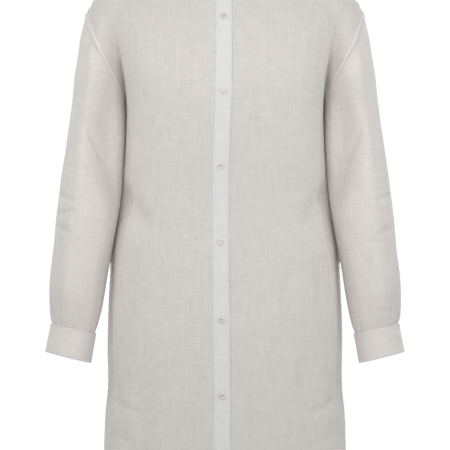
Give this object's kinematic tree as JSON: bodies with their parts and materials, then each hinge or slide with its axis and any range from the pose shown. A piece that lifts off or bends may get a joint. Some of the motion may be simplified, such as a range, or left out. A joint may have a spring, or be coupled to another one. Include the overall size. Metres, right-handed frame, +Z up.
{
  "type": "long linen dress shirt",
  "caption": "Long off-white linen dress shirt, filled out as worn and hollow, with a band collar, a buttoned placket, dropped shoulders, long sleeves with buttoned cuffs and side vents",
  "frame": {"origin": "midway between the two high points of the shoulders, where the shoulder seams meet the collar and the shirt rests on its wearer", "axes": "+Z up along the body, the buttoned front faces -Y, +X towards the wearer's left"},
  "size_m": [0.5898, 0.244, 0.8644],
  "materials": {
    "linen": "matt woven linen, slightly slubby, pale off-white",
    "pearl": "glossy, pale pearly"
  },
  "bodies": {
    "root": {"front_right": "linen", "front_left": "linen", "back": "linen", "sleeve_right": "linen", "sleeve_left": "linen", "cuff_right": "linen", "cuff_left": "linen", "placket": "linen", "collar_band": "linen", "button_1": "pearl", "button_2": "pearl", "button_3": "pearl", "button_4": "pearl", "button_5": "pearl", "button_6": "pearl", "button_collar": "pearl", "button_cuff_right": "pearl", "button_cuff_left": "pearl"}
  },
  "joints": []
}
